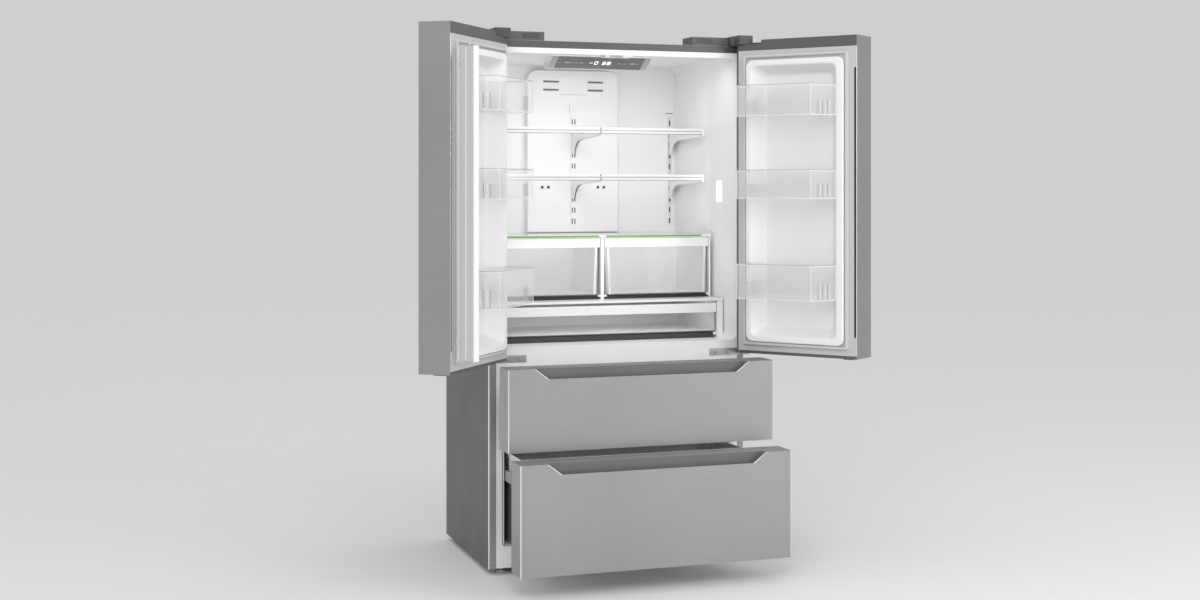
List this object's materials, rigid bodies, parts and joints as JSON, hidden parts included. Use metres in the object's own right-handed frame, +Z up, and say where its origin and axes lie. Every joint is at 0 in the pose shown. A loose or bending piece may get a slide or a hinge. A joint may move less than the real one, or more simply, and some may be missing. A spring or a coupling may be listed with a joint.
{
  "type": "french-door refrigerator",
  "caption": "Tall refrigerator with hinged upper doors that open on glass shelves, crispers and door bins, above full-width pull-out freezer drawers.",
  "frame": {"origin": "on the floor, under the middle of the space the part takes with its doors and drawers open", "axes": "+X to the right as seen from the front, +Y from the front towards the back panel, +Z up"},
  "size_m": [1.5276, 1.0963, 1.794],
  "materials": {
    "stainless": "satin, fine level grain",
    "case_steel": "satin grey paint",
    "back_steel": "zinc grey",
    "zinc_steel": "zinc plated",
    "white_steel": "gloss white paint",
    "black_steel": "black enamel",
    "aluminium": "mill finish",
    "foam": "rigid foam",
    "white_plastic": "glossy white",
    "grey_plastic": "light grey",
    "dark_plastic": "dark grey",
    "black_plastic": "black",
    "roller_plastic": "off-white nylon",
    "clear_plastic": "clear moulded",
    "clear_glass": "clear tempered",
    "lamp_plastic": "opal",
    "gasket_rubber": "light grey"
  },
  "bodies": {
    "cabinet": {"case_wrap": "case_steel", "back_panel": "back_steel", "compressor_cover": "back_steel", "power_inlet": "black_plastic", "base_pan": "back_steel", "front_feet": "zinc_steel", "insulation": "foam", "fridge_liner": "white_plastic", "freezer_liner": "white_plastic", "front_frame": "case_steel", "kick_plate": "white_plastic", "hinge_brackets": "zinc_steel", "hinge_covers": "dark_plastic", "duct_panel": "white_plastic", "shelf_ladders": "white_steel", "shelf_frames": "white_plastic", "shelf_glass": "clear_glass", "crisper_cover": "clear_glass", "crisper_frame": "white_plastic", "deli_housing": "white_plastic", "control_panel": "dark_plastic", "wall_lamps": "lamp_plastic", "mullion_guide": "white_plastic", "freezer_rails": "zinc_steel", "evaporator_cover": "white_plastic", "evaporator": "aluminium", "compressor": "black_steel", "condenser": "aluminium"},
    "roller_left": {"roller_left": "roller_plastic"},
    "roller_right": {"roller_right": "roller_plastic"},
    "crisper_left": {"crisper_left": "clear_plastic"},
    "crisper_right": {"crisper_right": "clear_plastic"},
    "deli_drawer": {"deli_drawer": "clear_plastic", "deli_trim": "white_plastic"},
    "key_left": {"key_left": "dark_plastic"},
    "key_right": {"key_right": "dark_plastic"},
    "mullion_flap": {"mullion_flap": "grey_plastic"},
    "evaporator_fan": {"evaporator_fan": "black_plastic"},
    "condenser_fan": {"condenser_fan": "black_plastic"},
    "left_door": {"left_door_skin": "stainless", "left_door_caps": "dark_plastic", "left_door_foam": "foam", "left_door_gasket": "gasket_rubber", "left_door_bins": "clear_plastic", "left_door_liner": "grey_plastic"},
    "right_door": {"right_door_skin": "stainless", "right_door_caps": "dark_plastic", "right_door_foam": "foam", "right_door_gasket": "gasket_rubber", "right_door_bins": "clear_plastic", "right_door_liner": "grey_plastic"},
    "upper_drawer": {"upper_drawer_front": "stainless", "upper_drawer_core": "foam", "upper_drawer_panel": "grey_plastic", "upper_drawer_bin": "white_plastic"},
    "upper_slides": {"upper_slides": "zinc_steel"},
    "lower_drawer": {"lower_drawer_front": "stainless", "lower_drawer_core": "foam", "lower_drawer_panel": "grey_plastic", "lower_drawer_bin": "white_plastic"},
    "lower_slides": {"lower_slides": "zinc_steel"}
  },
  "joints": [
    {"name": "left_door_hinge", "type": "hinge", "parent": "cabinet", "child": "left_door", "pos_m": [-0.444, -0.12085, 1.24], "axis": [0, 0, -1], "range_deg": [-127, 3]},
    {"name": "right_door_hinge", "type": "hinge", "parent": "cabinet", "child": "right_door", "pos_m": [0.444, -0.12085, 1.24], "axis": [0, 0, 1], "range_deg": [-127, 3]},
    {"name": "mullion_flap_hinge", "type": "hinge", "parent": "left_door", "child": "mullion_flap", "pos_m": [-0.64383, -0.4874, 1.22], "axis": [0, 0, 1], "range_deg": [-71, 2]},
    {"name": "upper_drawer_slide", "type": "slide", "parent": "cabinet", "child": "upper_drawer", "axis": [0, -1, 0], "range_m": [-0.134, 0.266]},
    {"name": "upper_slides_slide", "type": "slide", "parent": "cabinet", "child": "upper_slides", "axis": [0, -1, 0], "range_m": [-0.067, 0.133]},
    {"name": "lower_drawer_slide", "type": "slide", "parent": "cabinet", "child": "lower_drawer", "axis": [0, -1, 0], "range_m": [-0.279, 0.121]},
    {"name": "lower_slides_slide", "type": "slide", "parent": "cabinet", "child": "lower_slides", "axis": [0, -1, 0], "range_m": [-0.1395, 0.0605]},
    {"name": "crisper_left_slide", "type": "slide", "parent": "cabinet", "child": "crisper_left", "axis": [0, -1, 0], "range_m": [0, 0.25]},
    {"name": "crisper_right_slide", "type": "slide", "parent": "cabinet", "child": "crisper_right", "axis": [0, -1, 0], "range_m": [0, 0.25]},
    {"name": "deli_drawer_slide", "type": "slide", "parent": "cabinet", "child": "deli_drawer", "axis": [0, -1, 0], "range_m": [0, 0.3]},
    {"name": "key_left_press", "type": "slide", "parent": "cabinet", "child": "key_left", "axis": [0, 0.4947, 0.8691], "range_m": [0, 0.0006], "stiffness_N_per_m": 400},
    {"name": "key_right_press", "type": "slide", "parent": "cabinet", "child": "key_right", "axis": [0, 0.4947, 0.8691], "range_m": [0, 0.0006], "stiffness_N_per_m": 400},
    {"name": "roller_left_spin", "type": "hinge", "parent": "cabinet", "child": "roller_left", "pos_m": [-0.4, 0.51015, 0.015], "axis": [1, 0, 0], "continuous": true},
    {"name": "roller_right_spin", "type": "hinge", "parent": "cabinet", "child": "roller_right", "pos_m": [0.4, 0.51015, 0.015], "axis": [1, 0, 0], "continuous": true},
    {"name": "condenser_fan_spin", "type": "hinge", "parent": "cabinet", "child": "condenser_fan", "pos_m": [0.033, 0.45015, 0.14], "axis": [1, 0, 0], "continuous": true},
    {"name": "evaporator_fan_spin", "type": "hinge", "parent": "cabinet", "child": "evaporator_fan", "pos_m": [0, 0.40715, 0.59], "axis": [0, 1, 0], "continuous": true}
  ],
  "couplings": [
    {"joint": "upper_slides_slide", "follows": "upper_drawer_slide", "ratio": 0.5},
    {"joint": "lower_slides_slide", "follows": "lower_drawer_slide", "ratio": 0.5}
  ]
}
